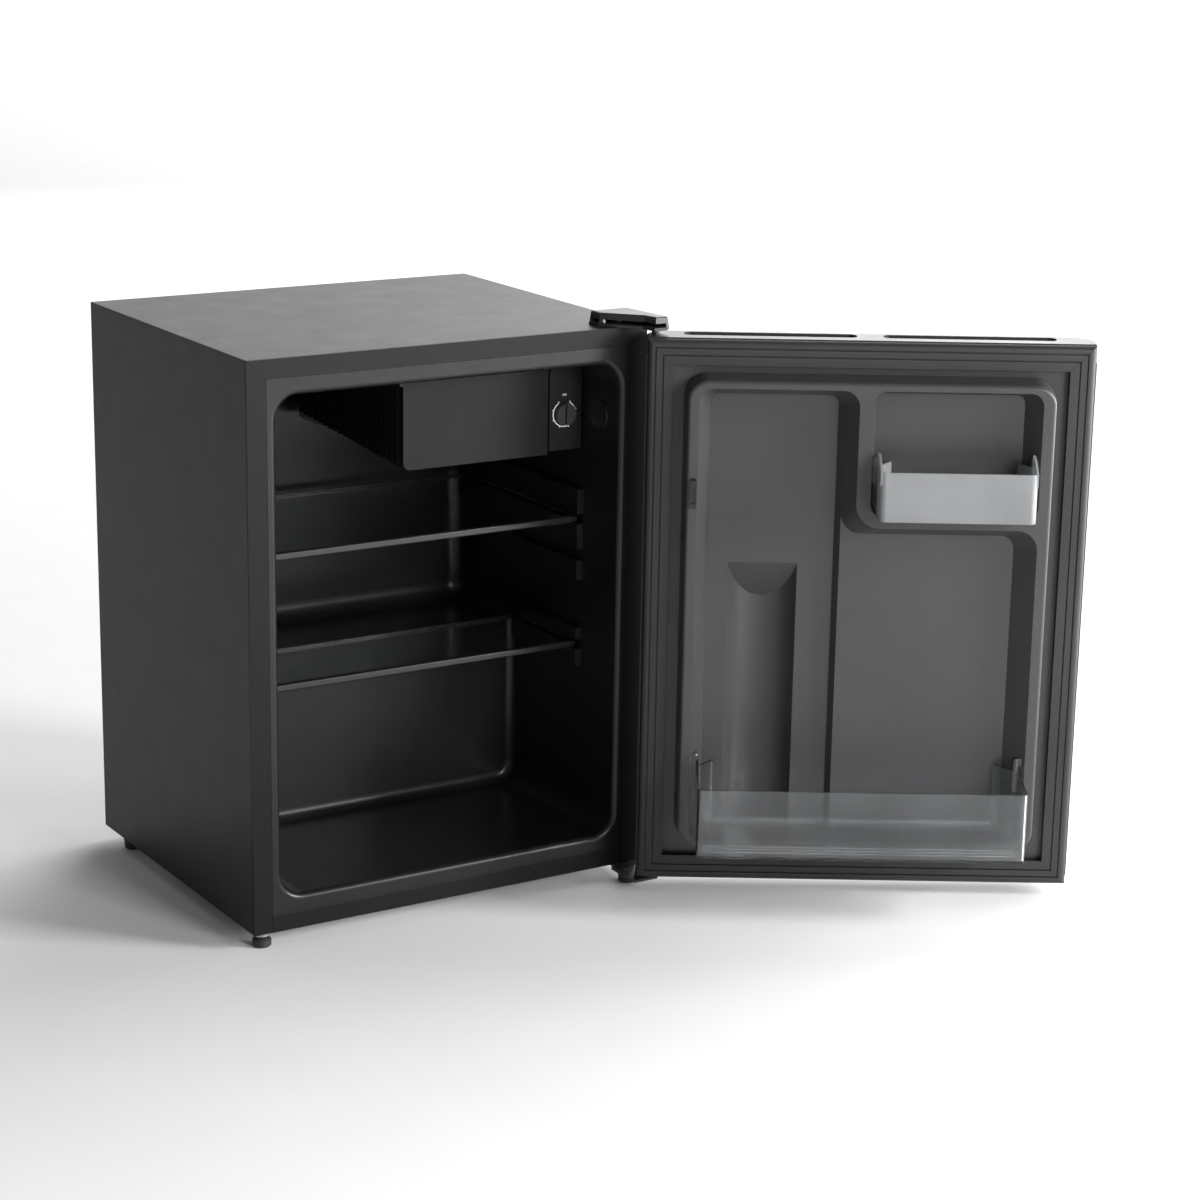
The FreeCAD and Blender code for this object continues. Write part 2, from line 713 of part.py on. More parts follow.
def chiller_side_cover():
    """Corrugated plastic cover on the open side of the chiller; its lower edge rises to the back."""
    body = new_body("chiller_side_cover")
    count = int((value("chiller_rear") - value("chiller_front")) // value("rib_pitch"))
    near_side, crest = "chiller_left - 1", "chiller_left - 1 - rib_depth"
    points = []
    for i in range(count):
        y = f"chiller_front + {i} * rib_pitch"
        points += [(near_side, y), (crest, f"{y} + rib_pitch * 0.35"), (crest, f"{y} + rib_pitch * 0.65")]
    points.append((near_side, f"chiller_front + {count} * rib_pitch"))
    back = [(f"{u} - 1.5", v) for u, v in reversed(points)]
    pad(body, "XY", [outline(points + back)], "flap_bottom + 3", "chiller_top + 2")
    wedge = outline([("chiller_front - 1", "flap_bottom"), ("chiller_rear + 1", "flap_bottom"),
                     ("chiller_rear + 1", "flap_bottom + 22"), ("chiller_front - 1", "flap_bottom + 4")])
    pocket(body, "YZ", [wedge], "chiller_left - 20", "chiller_left")
    return keep(body, "chiller_side_cover")


FLAP_AXIS_Y = "flap_front + flap_gauge/2"
FLAP_AXIS_Z = "flap_top - flap_axis_drop"


def chiller_flap():
    """Flap of the chiller, with a rounded lower corner and a pivot pin at each end of its top."""
    body = new_body("chiller_flap")
    face = box("chiller_left - 4", "flap_bottom", "chiller_right", "flap_top",
               ["flap_corner", 2, 2, 2])
    pad(body, "XZ", [face], "flap_front", "flap_front + flap_gauge")
    front = value("flap_front")
    fillet(body, "flap_gauge * 0.3", lambda p: abs(p.y - front) < 0.01)
    pin = disc(FLAP_AXIS_Y, FLAP_AXIS_Z, "flap_pin_radius")
    pad(body, "YZ", [pin], "chiller_right - 3", "chiller_right + 5")
    pad(body, "YZ", [pin], "chiller_left - 9", "chiller_left - 1")
    return keep(body, "chiller_flap")


def flap_lugs():
    """The two ears on the ceiling that hold the flap's pins."""
    ears = []
    spans = (("chiller_left - 9.5", "chiller_left - 5"), ("chiller_right + 1", "chiller_right + 5.5"))
    for number, (x0, x1) in enumerate(spans):
        ear = new_body(f"flap_lug_{number}")
        plate = box(f"{FLAP_AXIS_Y} - 5", f"{FLAP_AXIS_Z} - 5", f"{FLAP_AXIS_Y} + 5", "cavity_ceiling", 0)
        hole = disc(FLAP_AXIS_Y, FLAP_AXIS_Z, "flap_pin_radius + running_gap")
        pad(ear, "YZ", [plate, hole], x0, x1)
        ears.append(ear)
    return keep(fuse("flap_lugs", *ears), "flap_lugs")


def thermostat_housing():
    """Plastic box beside the chiller, open at the back, with a hole for the spindle."""
    body = new_body("thermostat_housing")
    left, right = "thermostat_left", "cavity_half - housing_gap"
    low, high = "thermostat_bottom", "cavity_ceiling - housing_gap/4"
    face = box(left, low, right, high, [1.5, 1.5, "housing_corner", 1.5])
    pad(body, "XZ", [face], "thermostat_front", "thermostat_rear")
    wall = "housing_wall"
    inner = box(f"{left} + {wall}", f"{low} + {wall}", f"{right} - {wall}", f"{high} - {wall}",
                [0, 0, f"housing_corner - {wall}", 0])
    pocket(body, "XZ", [inner], f"thermostat_front + {wall}", "thermostat_rear + 1")
    hole = disc("knob_x", "knob_z", "spindle_radius + 1.5")
    pocket(body, "XZ", [hole], "thermostat_front - 1", f"thermostat_front + {wall} + 1")
    return keep(body, "thermostat_housing")


def thermostat():
    """Switch body behind the housing's face, with the spindle that the knob turns."""
    body = new_body("thermostat")
    case = box("knob_x - 14", "knob_z - 16", "knob_x + 16", "knob_z + 16", 3)
    pad(body, "XZ", [case], "thermostat_front + housing_wall", "thermostat_front + 38")
    spindle = disc("knob_x", "knob_z", "spindle_radius")
    pad(body, "XZ", [spindle], "thermostat_front - 6", "thermostat_front + 3")
    return keep(body, "thermostat")


def thermostat_knob():
    """Round knob with a finger ridge across its face and a blind bore for the spindle."""
    body = new_body("thermostat_knob")
    back = "thermostat_front - 0.3"
    front = f"{back} - knob_depth"
    pad(body, "XZ", [disc("knob_x", "knob_z", "knob_radius")], f"{front} + 3", back)
    ridge = box("knob_x - 1.8", "knob_z - knob_radius + 1", "knob_x + 1.8", "knob_z + knob_radius - 1", 1.5)
    pad(body, "XZ", [ridge], front, f"{front} + 3.5")
    bore = disc("knob_x", "knob_z", "spindle_radius + running_gap")
    pocket(body, "XZ", [bore], "thermostat_front - 6.2", "thermostat_front + 1")
    return keep(body, "thermostat_knob")


def wall_plug():
    """Domed round plug in the liner's right wall."""
    body = new_body("wall_plug")
    pad(body, "YZ", [disc("plug_y", "plug_z", "plug_radius")], "cavity_half - plug_reach", "cavity_half")
    inner = value("cavity_half - plug_reach")
    fillet(body, "plug_reach * 0.6", lambda p: abs(p.x - inner) < 0.01)
    return keep(body, "wall_plug")


# ---- cooling circuit ----


def revolve(body, profile, x, y):
    """Turns a profile, drawn as radius and height, about an upright axis."""
    sketch = new_sketch(body, "XZ", y, [profile])
    sketch.setExpression("AttachmentOffset.Base.x", formula(x))
    feature = body.newObject("PartDesign::Revolution", body.Name + "_turn")
    feature.Profile = sketch
    feature.ReferenceAxis = (sketch, ["V_Axis"])
    feature.Angle = 360
    return feature


COMPRESSOR_BOTTOM = "base_gauge + mount_height"
COMPRESSOR_TOP = f"{COMPRESSOR_BOTTOM} + compressor_height"
MOUNT_SPOTS = [(f"compressor_x + {side_x} * mount_reach_x", f"compressor_y + {side_y} * mount_reach_y")
               for side_x in (-1, 1) for side_y in (-1, 1)]


def compressor():
    """Welded steel can with domed ends and a seam flange, on a four-footed base plate."""
    body = new_body("compressor")
    r, low, high, seam = "compressor_radius", COMPRESSOR_BOTTOM, COMPRESSOR_TOP, "compressor_seam"
    middle = f"{low} + compressor_height * 0.52"
    profile = outline([(0, low), (f"{r} * 0.62", low), (f"{r} * 0.93", f"{low} + {r}/4"), (r, f"{low} + {r} * 0.6"),
                       (r, f"{middle} - {seam}/2"), (f"{r} + {seam}", f"{middle} - {seam}/2"),
                       (f"{r} + {seam}", f"{middle} + {seam}/2"), (r, f"{middle} + {seam}/2"),
                       (r, f"{high} - {r} * 0.6"), (f"{r} * 0.9", f"{high} - {r}/4"), (f"{r} * 0.55", high),
                       (0, high)])
    revolve(body, profile, "compressor_x", "compressor_y")
    half_x, half_y = "(mount_reach_x + mount_margin)", "(mount_reach_y + mount_margin)"
    plate = box(f"compressor_x - {half_x}", f"compressor_y - {half_y}",
                f"compressor_x + {half_x}", f"compressor_y + {half_y}", "mount_margin")
    pad(body, "XY", [plate], low, f"{low} + mount_plate")
    holes = [disc(x, y, "mount_neck + stem_gap") for x, y in MOUNT_SPOTS]
    pocket(body, "XY", holes, f"{low} - 1", f"{low} + mount_plate + 1")
    return keep(body, "compressor")


def compressor_grommets():
    """Four rubber mounts between the compressor's base plate and the base pan."""
    low, neck = COMPRESSOR_BOTTOM, "mount_neck"
    plate = f"{low} + mount_plate"
    mounts = []
    for number, (x, y) in enumerate(MOUNT_SPOTS):
        foot = cylinder("mount_foot", x, y, "base_gauge", low, f"{neck} + 5")
        stem = cylinder("mount_stem", x, y, f"{low} - 1", f"{plate} + 1", neck)
        head = cylinder("mount_head", x, y, plate, f"{plate} + 4", f"{neck} + 3")
        mounts.append(fuse(f"mount_{number}", foot, stem, head))
    return keep(fuse("compressor_grommets", *mounts), "compressor_grommets")


def relay_cover():
    """Plastic cover over the compressor's terminals and start relay, shaped to the can."""
    body = new_body("relay_cover_block")
    outer = "compressor_x - compressor_radius - relay_reach"
    inner = "compressor_x - compressor_radius * 0.9"
    plan = box(outer, "compressor_y - relay_half", inner, "compressor_y + relay_half", [5, 0, 0, 5])
    pad(body, "XY", [plan], "relay_low", "relay_high")
    can = cylinder("relay_can", "compressor_x", "compressor_y", 0, "bay_ceiling", "compressor_radius + stem_gap")
    return keep(cut("relay_cover", body, can), "relay_cover")


def drip_tray():
    """Shallow tray over the compressor, whose warmth dries the defrost water."""
    body = new_body("drip_tray")
    low, high, wall = COMPRESSOR_TOP, f"{COMPRESSOR_TOP} + tray_height", "tray_wall"

    def plan(inset, radius):
        return box(f"compressor_x - tray_half_x + {inset}", f"compressor_y - tray_half_y + {inset}",
                   f"compressor_x + tray_half_x - {inset}", f"compressor_y + tray_half_y - {inset}", radius)

    pad(body, "XY", [plan(0, 10)], low, high)
    pocket(body, "XY", [plan(wall, 8)], f"{low} + {wall}", f"{high} + 1")
    return keep(body, "drip_tray")


def pipe(label, points, radius, join):
    """A round pipe through points, its straight runs joined by tangent arcs of one radius."""
    spots = [Vector(*point) for point in points]
    edges = []
    start = spots[0]
    for before, corner, after in zip(spots, spots[1:], spots[2:]):
        into = (corner - before).normalize()
        out = (after - corner).normalize()
        half_turn = into.getAngle(out) / 2
        reach = join * math.tan(half_turn)
        first, last = corner - into * reach, corner + out * reach
        middle = corner + (out - into).normalize() * (join / math.cos(half_turn) - join)
        edges += [Part.LineSegment(start, first).toShape(), Part.Arc(first, middle, last).toShape()]
        start = last
    edges.append(Part.LineSegment(start, spots[-1]).toShape())
    path = Part.Wire(edges)
    ring = Part.Wire(Part.makeCircle(radius, spots[0], (spots[1] - spots[0]).normalize()))
    feature = doc.addObject("Part::Feature", label)
    feature.Shape = path.makePipeShell([ring], True, False, 2)
    return keep(feature, label)


def condenser_levels():
    """The heights of the condenser's horizontal runs."""
    low, high = value("bay_ceiling") + 34, value("cabinet_height") - 42
    count = int((high - low) // value("condenser_pitch")) // 2 * 2 + 1
    return [low + i * value("condenser_pitch") for i in range(count)]


def condenser_plane():
    return value("cabinet_depth") + value("condenser_gap")


def condenser_tube():
    """Flat serpentine of steel tube behind the cabinet."""
    reach, y = value("condenser_reach"), condenser_plane()
    levels = condenser_levels()
    points = [(reach, y, levels[0] - value("condenser_pitch"))]
    side = 1
    for z in levels:
        points += [(side * reach, y, z), (-side * reach, y, z)]
        side = -side
    drier_x = value("drier_x")
    points[-1] = (drier_x, y, levels[-1])
    points.append((drier_x, y, levels[0]))
    return pipe("condenser_tube", points, value("condenser_tube"), value("condenser_pitch") * 0.49)


def discharge_pipe():
    """Hot gas line from the compressor to the foot of the condenser."""
    reach, y = value("condenser_reach"), condenser_plane()
    x, rear, level = value("compressor_x"), value("compressor_y"), value("outlet_height")
    points = [(x + value("compressor_radius") - 1, rear, level), (reach, rear, level), (reach, y, level),
              (reach, y, condenser_levels()[0] - value("condenser_pitch"))]
    return pipe("discharge_pipe", points, value("condenser_tube"), value("condenser_pitch") * 0.49)


def liquid_line():
    """Line from the condenser's last run forward to the filter drier."""
    x, y = value("drier_x"), value("drier_y")
    top = value("drier_low") + value("drier_length")
    passage = top + value("condenser_pitch") * 0.6
    plane = condenser_plane()
    points = [(x, plane, condenser_levels()[0]), (x, plane, passage), (x, y, passage), (x, y, top)]
    return pipe("liquid_line", points, value("condenser_tube"), value("condenser_pitch") * 0.49)


def condenser_wires():
    """Straight wires spot-welded to the back of the serpentine."""
    levels = condenser_levels()
    y = condenser_plane() + value("condenser_tube") + value("condenser_wire") * 0.8
    count = int((value("cabinet_width") - 110) // value("wire_pitch"))
    wires = []
    for i in range(count + 1):
        x = (i - count / 2) * value("wire_pitch")
        foot = Vector(x, y, levels[0] - 14)
        height = levels[-1] - levels[0] + 28
        wires.append(Part.makeCylinder(value("condenser_wire"), height, foot, Vector(0, 0, 1)))
    feature = doc.addObject("Part::Feature", "condenser_wires")
    feature.Shape = Part.makeCompound(wires)
    return keep(feature, "condenser_wires")


def condenser_brackets():
    """Four stand-offs that hold the condenser clear of the back panel."""
    levels = condenser_levels()
    y1 = "cabinet_depth + condenser_gap - condenser_tube"
    spots = [(x, z) for x in (-150, 150) for z in (levels[1], levels[-2])]
    posts = [block("standoff", x - 6, x + 6, "cabinet_depth", y1, z - 9, z + 9) for x, z in spots]
    return keep(fuse("condenser_brackets", *posts), "condenser_brackets")


def filter_drier():
    """Copper cylinder with necked ends between condenser and capillary."""
    body = new_body("filter_drier")
    low, high = "drier_low", "drier_low + drier_length"
    profile = outline([(0, low), (3, low), (3, f"{low} + 8"), (9, f"{low} + 16"), (9, f"{high} - 18"),
                       (3, f"{high} - 10"), (3, high), (0, high)])
    revolve(body, profile, "drier_x", "drier_y")
    return keep(body, "filter_drier")


def capillary_tube():
    """Thin tube from the drier to the evaporator's wall passage."""
    x, y, low = value("drier_x"), value("drier_y"), value("drier_low")
    drop, run = low / 3, value("compressor_radius")
    points = [(x, y, low), (x, y, low - drop), (x + run, y, low - drop), (x + run, y, value("bay_ceiling"))]
    return pipe("capillary_tube", points, value("capillary"), drop * 0.6)


def suction_pipe():
    """Return pipe from the evaporator's wall passage to the compressor."""
    x, y = value("compressor_x"), value("compressor_y")
    r = value("compressor_radius")
    level = value("suction_height")
    rise = x + r + value("suction_reach")
    points = [(x + r * 0.93, y, level), (rise, y, level), (rise, y, value("bay_ceiling"))]
    return pipe("suction_pipe", points, value("suction_radius"), value("suction_radius") * 4.5)


# ---- mains inlet, feet, hinges ----

GLAND_FACE = "cabinet_depth - 8"


def cord_gland():
    """Rubber bushing in its bracket where a mains lead passes out of the bay."""
    body = new_body("cord_gland")
    bore = disc("gland_x", "gland_z", "gland_bore")
    pad(body, "XZ", [disc("gland_x", "gland_z", "gland_radius"), bore], GLAND_FACE, "cabinet_depth")
    neck = [disc("gland_x", "gland_z", "gland_neck"), bore]
    pad(body, "XZ", neck, f"{GLAND_FACE} - 6", GLAND_FACE)
    return keep(body, "cord_gland")


def gland_bracket():
    """Upright tab on the base pan that holds the cord gland."""
    body = new_body("gland_bracket")
    half, top = "gland_radius + 7", "gland_z + gland_radius * 2"
    face = box(f"gland_x - ({half})", "base_gauge", f"gland_x + ({half})", top, [0, 0, 6, 6])
    hole = disc("gland_x", "gland_z", "gland_neck + 0.1")
    pad(body, "XZ", [face, hole], f"{GLAND_FACE} - 2", GLAND_FACE)
    return keep(body, "gland_bracket")


def foot_profile(stem):
    """A levelling foot in section: sole, tapered pad, threaded stem."""
    low, r = "-foot_height", "foot_radius"
    return outline([(0, low), (f"{r} - 1.5", low), (r, f"{low} + 1.5"), (r, f"{low} + 8"),
                    (f"{r} - 2.5", f"{low} + 10"), ("foot_stem", f"{low} + 10"), ("foot_stem", stem), (0, stem)])


def front_foot(name, x, y, stem):
    body = new_body(name)
    revolve(body, foot_profile(stem), x, y)
    return keep(body, name)


def rear_feet():
    """Two fixed feet at the back."""
    feet = []
    for number, side in enumerate((-1, 1)):
        foot = new_body(f"rear_foot_{number}")
        low, r = "-foot_height", "foot_radius"
        profile = outline([(0, low), (f"{r} - 1.5", low), (r, f"{low} + 1.5"), (f"{r} + 1.5", 0), (0, 0)])
        revolve(foot, profile, f"{side} * rear_foot_x", "rear_foot_y")
        feet.append(foot)
    return keep(fuse("rear_feet", *feet), "rear_feet")


def foot_nut():
    """Threaded boss inside the cabinet for the left front foot."""
    ring = [disc("front_foot_x", "front_foot_y", 8), disc("front_foot_x", "front_foot_y", "foot_stem + running_gap")]
    return plain_pad("foot_nut", "XY", ring, -6, 0)


def lower_hinge_bracket():
    """Stepped steel plate under the cabinet that carries the lower hinge pin and a front foot."""
    body = new_body("lower_hinge_bracket")
    gauge = "hinge_plate"
    low = f"door_bottom - {gauge} - 1"
    front, rear = "hinge_y - 19", 60
    profile = outline([(front, low), (4, low), (4, f"-{gauge}"), (rear, f"-{gauge}"), (rear, 0), (1, 0),
                       (1, f"{low} + {gauge}"), (front, f"{low} + {gauge}")])
    pad(body, "YZ", [profile], f"{HALF} - 30", HALF)
    hole = disc("bracket_foot_x", "bracket_foot_y", "foot_stem + running_gap")
    pocket(body, "XY", [hole], f"{low} - 1", f"{low} + {gauge} + 0.2")
    pin = disc("hinge_x", "hinge_y", "hinge_pin_radius")
    pad(body, "XY", [pin], f"{low} + 1", "door_bottom + hinge_pin_reach")
    return keep(body, "lower_hinge_bracket")


def hinge_wing(grow):
    """The upper hinge's plan: a wing on the cabinet and an arm out over the hinge pin."""
    left, right, rear, nose = "hinge_x - 46", "hinge_x + 8", 34, "hinge_y - 11"
    return outline([(f"{left} - {grow}", f"16 - {grow}"), (f"{left} - {grow}", f"{rear} + {grow}"),
                    (f"{right} - 8 + {grow}", f"{rear} + {grow}"), (f"{right} + {grow}", f"hinge_y + {grow}"),
                    (f"{right} + {grow}", f"{nose} - {grow}"), (f"{right} - 16 - {grow}", f"{nose} - {grow}"),
                    (f"{right} - 20 - {grow}", f"hinge_y + 6 - {grow}")])


def upper_hinge_bracket():
    """Steel plate on the cabinet's top that holds the upper pin over the door."""
    body = new_body("upper_hinge_bracket")
    top = "cabinet_height"
    pad(body, "XY", [hinge_wing("0")], top, f"{top} + hinge_plate")
    pin = disc("hinge_x", "hinge_y", "hinge_pin_radius")
    pad(body, "XY", [pin], "door_top - hinge_pin_reach", f"{top} + 1")
    return keep(body, "upper_hinge_bracket")


def hinge_screws():
    """Pan-head screws that fasten the upper hinge bracket."""
    low = "cabinet_height + hinge_plate"
    heads = [cylinder("screw_head", f"hinge_x - {gap}", 25, low, f"{low} + screw_head", "screw_radius")
             for gap in (34, 14)]
    return keep(fuse("hinge_screws", *heads), "hinge_screws")


def hinge_cover():
    """Plastic cap over the upper hinge: a low wing whose front edge runs out over the door."""
    body = new_body("hinge_cover")
    top, wall = "cabinet_height", "hinge_cover_wall"
    room = "0.6"
    outer = f"{room} + {wall} + 1.6"
    pad(body, "XY", [hinge_wing(outer)], top, f"{top} + hinge_cover_height", -6)
    hollow = hinge_wing(room)
    pocket(body, "XY", [hollow], f"{top} - 1", f"{top} + hinge_plate + screw_head + 1")
    peak = value(f"{top} + hinge_cover_height")
    fillet(body, wall, lambda p: abs(p.z - peak) < 0.01)
    return keep(body, "hinge_cover")


# ---- door ----


def door_plan(inset):
    """The door's section seen from above: the outer face curves back at both ends."""
    edge = f"door_half - {inset}"
    rounding = f"door_round - {inset}"
    return lambda inner: box(f"-({edge})", f"door_outer + {inset}", edge, inner, [rounding, rounding, 0, 0])


SKIN_LOW = "door_bottom + cap_bottom_height"
SKIN_HIGH = "door_top - cap_top_height"
LINER_BACK = "door_liner_face - liner_wall"
TROUGH_BACK = "bottle_y - bottle_radius - 9"


def door_skin():
    """Painted sheet wrapped round the front and both sides of the door."""
    body = new_body("door_skin")
    pad(body, "XY", [door_plan("0")("door_inner")], SKIN_LOW, SKIN_HIGH)
    pocket(body, "XY", [door_plan("door_sheet")("door_inner + 1")], f"{SKIN_LOW} - 1", f"{SKIN_HIGH} + 1")
    return keep(body, "door_skin", "door")


def door_cap(name, low, high, lip_low, lip_high):
    """Plastic end cap, with a thin lip that frames the gasket."""
    body = new_body(name)
    pad(body, "XY", [door_plan("0")(LINER_BACK)], low, high)
    pad(body, "XY", [box("-door_half", f"{LINER_BACK} - 1", "door_half", "door_inner")], lip_low, lip_high)
    return body


def bush_bore(body, low, high):
    bore = disc("hinge_x", "hinge_y", "hinge_pin_radius + bush_wall")
    pocket(body, "XY", [bore], low, high)


def door_top_cap():
    """Top cap with a long finger recess on each half and the bore of the upper hinge."""
    body = door_cap("door_top_cap", SKIN_HIGH, "door_top", "door_top - 1", "door_top")
    front, top = value("door_outer"), value("door_top")
    half, corner = value("door_half"), value("door_round")
    fillet(body, 3, lambda p: abs(p.z - top) < 0.01 and p.y < front + corner + 1 and abs(p.x) < half + 1)
    front_edge, rear_edge = "door_outer + grip_front", "door_outer + grip_front + grip_width"
    grips = [box("grip_inner", front_edge, "grip_outer", rear_edge, 8),
             box("-grip_outer", front_edge, "-grip_inner", rear_edge, 8)]
    pocket(body, "XY", grips, "door_top - grip_depth", "door_top + 1")
    bush_bore(body, "door_top - bush_depth", "door_top + 1")
    return keep(body, "door_top_cap", "door")


def door_bottom_cap():
    """Bottom cap with the bore of the lower hinge."""
    body = door_cap("door_bottom_cap", "door_bottom", SKIN_LOW, "door_bottom", "door_bottom + 1")
    bush_bore(body, "door_bottom - 1", "door_bottom + bush_depth")
    return keep(body, "door_bottom_cap", "door")


def door_foam():
    """Foam between the skin and the inner door, less the room of the bottle trough."""
    body = new_body("door_foam")
    pad(body, "XY", [door_plan("door_sheet")(LINER_BACK)], SKIN_LOW, SKIN_HIGH)
    reach = "bottle_shell + 1"
    trough = box(f"bottle_x - ({reach})", TROUGH_BACK, f"bottle_x + {reach}", "0")
    pocket(body, "XY", [trough], "bottle_low - bottle_wall - 1", "bottle_high + bottle_wall + 1")
    bush_bore(body, SKIN_LOW, "door_bottom + bush_depth")
    return keep(body, "door_foam", "door")


def hinge_bushes():
    """Plastic sleeves in the door's two hinge bores."""
    sleeves = []
    spans = (("door_bottom", "door_bottom + bush_depth"), ("door_top - bush_depth", "door_top"))
    for number, (low, high) in enumerate(spans):
        sleeve = new_body(f"hinge_bush_{number}")
        ring = [disc("hinge_x", "hinge_y", "hinge_pin_radius + bush_wall"),
                disc("hinge_x", "hinge_y", "hinge_pin_radius + running_gap")]
        pad(sleeve, "XY", ring, low, high)
        sleeves.append(sleeve)
    return keep(fuse("hinge_bushes", *sleeves), "hinge_bushes", "door")


FRAME_EDGE = "door_half - door_sheet - 0.4"
FRAME_LOW = "door_bottom + 1.2"
FRAME_HIGH = "door_top - 1.2"


def door_gasket():
    """Magnetic seal: a mitred rubber frame with two fine grooves along each side."""
    body = new_body("door_gasket")

    def ring(inset):
        return box(f"-({FRAME_EDGE}) + ({inset})", f"{FRAME_LOW} + ({inset})",
                   f"{FRAME_EDGE} - ({inset})", f"{FRAME_HIGH} - ({inset})")

    pad(body, "XZ", [ring("0"), ring("gasket_width")], "door_liner_face", "gasket_face")
    # the outer edge is rounded, so that it swings clear of the cabinet's front flange
    edge, low, high = value(FRAME_EDGE), value(FRAME_LOW), value(FRAME_HIGH)
    face = value("gasket_face")
    fillet(body, "gasket_round", lambda p: abs(p.y - face) < 0.01 and (
        abs(abs(p.x) - edge) < 0.01 or abs(p.z - low) < 0.01 or abs(p.z - high) < 0.01))
    for inset in ("gasket_groove_outer", "gasket_groove_inner"):
        groove = [ring(inset), ring(f"{inset} + gasket_groove")]
        pocket(body, "XZ", groove, "gasket_face - gasket_groove_depth", "gasket_face + 1")
    for side in (-1, 1):
        for z, way in ((FRAME_LOW, 1), (FRAME_HIGH, -1)):
            seam = mitre_seam(side, FRAME_EDGE, z, way, "gasket_width")
            pocket(body, "XZ", [seam], "gasket_face - seam_depth", "gasket_face + 1")
    return keep(body, "door_gasket", "door")


# each lug is (left, right, bottom, top), set in from a basket's outer corner
BASKET_LUGS = [
    ("lower_basket_right - 3.6", "hollow_right", "lower_lug_low", "lower_lug_high"),
    ("hollow_left", "lower_basket_left + 4.6", "lower_lug_low", "lower_lug_high"),
    ("upper_basket_right - 2.4", "divider_left - 1", "upper_lug_low", "upper_lug_high"),
    ("small_left - 1", "upper_basket_left + 2", "upper_lug_low", "upper_lug_high"),
]


def door_liner():
    """Formed inner door: flange, dyke, raised panels, bottle trough and basket lugs."""
    body = new_body("door_liner_form")
    flange = box(f"-({FRAME_EDGE})", FRAME_LOW, FRAME_EDGE, FRAME_HIGH)
    pad(body, "XZ", [flange], LINER_BACK, "door_liner_face")
    dyke = box("-dyke_half", "dyke_low", "dyke_half", "dyke_high", "dyke_corner")
    pad(body, "XZ", [dyke], "door_liner_face", "dyke_top", -6)
    peak = value("dyke_top")
    fillet(body, "dyke_edge", lambda p: abs(p.y - peak) < 0.01)
    shell = box("bottle_x - bottle_shell", "bottle_low - bottle_wall", "bottle_x + bottle_shell",
                "bottle_high + bottle_wall", 8)
    pad(body, "XZ", [shell], f"{TROUGH_BACK} + 1", "door_liner_face")
    # wide hollow: tall panel joined to the low panel beside it round a rounded corner
    left, right, low, high = "hollow_left", "hollow_right", "hollow_low", "hollow_high"
    r, f = "hollow_round", "floor_corner"
    wide = outline([(right, low), (right, high), ("divider_right", high), ("divider_right", "band_low"),
                    (left, "band_low"), (left, low)], [r, r, "divider_round", "band_round", "band_round - 4", r])
    tall = [f"{right} - side_draft", f"{low} + end_draft", f"{high} - end_draft", "divider_right + divider_draft"]
    floor_right, floor_low, floor_high, floor_divider = tall
    under, free = "band_low - side_draft", f"{left} + free_draft"
    wide_floor = outline([(floor_right, floor_low), (floor_right, floor_high), (floor_divider, floor_high),
                          (floor_divider, under), (free, under), (free, floor_low)],
                         [f, f, f, "band_round - 4", f"{f} + 2", f])
    loft_cut(body, "XZ", [("dyke_top + 0", wide), ("panel_raised", wide_floor)])
    step = box(floor_divider, floor_low, floor_right, floor_high, f)
    step_floor = box(f"{floor_divider} + ledge", f"{floor_low} + ledge/2", f"{floor_right} - ledge/2",
                     f"{floor_high} - ledge/2", f"{f} - 2")
    loft_cut(body, "XZ", [("panel_raised", step), ("panel_low", step_floor)])
    small = box("small_left", "band_high", "divider_left", high, "small_round")
    small_floor = box("small_left + small_draft", "band_high + 2.5", "divider_left - 4",
                      f"{high} - end_draft * 0.75", "small_round - 5")
    loft_cut(body, "XZ", [("dyke_top", small), ("panel_raised", small_floor)])
    # lugs that the baskets hang on
    for x0, x1, z0, z1 in BASKET_LUGS:
        pad(body, "XZ", [box(x0, z0, x1, z1, 2)], "panel_low - 1", "dyke_top - lug_drop")
    # bottle trough: an upright round channel whose top end slopes out to the panel
    channel = cylinder("trough_channel", "bottle_x", "bottle_y", "bottle_low", "bottle_high + bottle_run/2",
                       "bottle_radius")
    slope = new_body("trough_slope")
    back, front = f"{TROUGH_BACK} - 1", "panel_low + 12"
    side = outline([(back, "bottle_low - 1"), (front, "bottle_low - 1"), (front, "bottle_high + bottle_run * 0.2"),
                    (back, "bottle_high - bottle_run * 0.8")])
    reach = "bottle_shell + 5"
    pad(slope, "YZ", [side], f"bottle_x - ({reach})", f"bottle_x + {reach}")
    trough = doc.addObject("Part::Common", "trough")
    trough.Base = channel
    trough.Tool = slope
    return keep(cut("door_liner", body, trough), "door_liner", "door")


def basket_arm(body, x0, x1, rear, high):
    """A raised ear at the rear of a basket's side wall, swept down to the rim."""
    peak, root = f"{high} + basket_ear", f"{high} - basket_ear"
    ear = outline([(rear, root), (rear, peak), (f"{rear} + basket_ear * 0.65", peak),
                   (f"{rear} + basket_ear * 1.6", f"{high} + basket_ear/2"), (f"{rear} + basket_ear * 2.4", high),
                   (f"{rear} + basket_ear * 2.4", root)])
    pad(body, "YZ", [ear], x0, x1)


